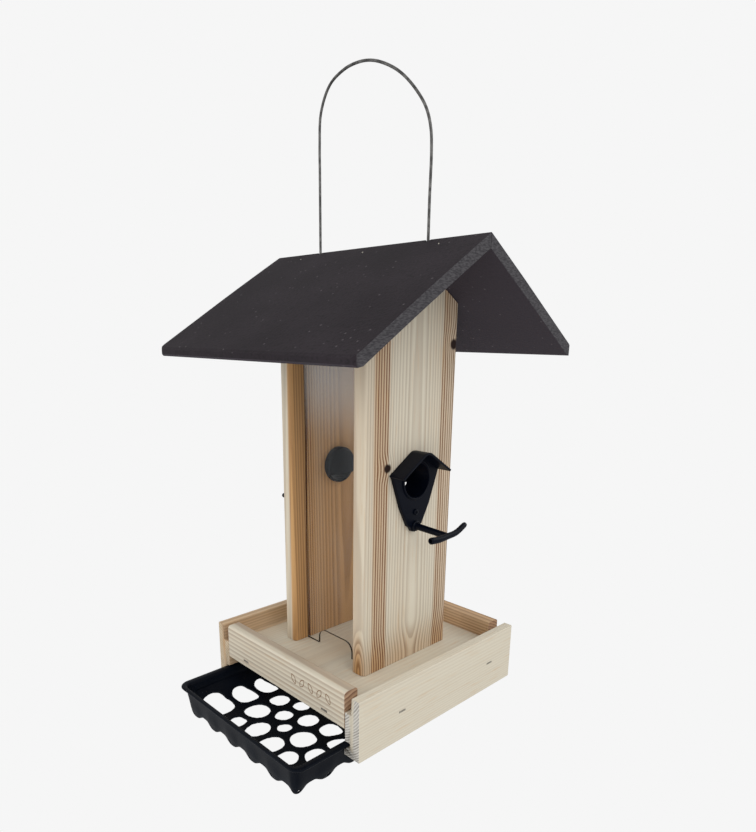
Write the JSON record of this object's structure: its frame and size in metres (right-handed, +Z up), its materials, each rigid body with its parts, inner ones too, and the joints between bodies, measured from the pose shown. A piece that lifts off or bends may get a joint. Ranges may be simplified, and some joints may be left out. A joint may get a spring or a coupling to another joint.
{
  "type": "hanging bird feeder",
  "caption": "Hanging bird feeder: pine hopper and seed tray, clear windows, pitched dark roof, moulded side feeding ports with perches, a pull-out mesh drawer and a wire hanging loop.",
  "frame": {"origin": "point of the hanging wire that a hook bears on, over the middle of the feeder", "axes": "+Z up, -Y the side the drawer pulls out of, +X the right-hand panel"},
  "size_m": [0.242, 0.274, 0.537],
  "materials": {
    "pine": "planed pine, clear grain with brown rings",
    "roof_coat": "dark fine-grained coating, matte, greyer on cut edges",
    "black_plastic": "moulded black plastic, satin",
    "clear_sheet": "clear sheet, glossy",
    "dark_wire": "dark weathered wire",
    "fastener": "dull steel"
  },
  "bodies": {
    "housing": {"tray_side_right": "pine", "tray_side_left": "pine", "tray_front_board": "pine", "tray_rear_board": "pine", "tray_floor": "pine", "hopper_panel_right": "pine", "hopper_panel_left": "pine", "port_body_right": "black_plastic", "port_body_left": "black_plastic", "port_baffle_right": "black_plastic", "port_baffle_left": "black_plastic", "perch_right": "black_plastic", "perch_left": "black_plastic", "window_front": "clear_sheet", "window_rear": "clear_sheet", "hanging_wire": "dark_wire", "front_staple_1": "fastener", "front_staple_2": "fastener", "rear_staple_1": "fastener", "rear_staple_2": "fastener", "side_staple_right_1": "fastener", "side_staple_right_2": "fastener", "side_staple_left_1": "fastener", "side_staple_left_2": "fastener", "panel_screw_right_1": "fastener", "panel_screw_right_2": "fastener", "panel_screw_left_1": "fastener", "panel_screw_left_2": "fastener", "port_screw_right": "fastener", "port_screw_left": "fastener"},
    "roof": {"roof_board_front": "roof_coat", "roof_board_rear": "roof_coat", "ridge_brad_1": "fastener", "ridge_brad_2": "fastener", "ridge_brad_3": "fastener"},
    "drawer": {"mesh_drawer": "black_plastic"}
  },
  "joints": [
    {"name": "roof_lift", "type": "slide", "parent": "housing", "child": "roof", "axis": [0, 0, 1], "range_m": [0, 0.06]},
    {"name": "drawer_slide", "type": "slide", "parent": "housing", "child": "drawer", "axis": [0, -1, 0], "range_m": [-0.05, 0.1]}
  ]
}
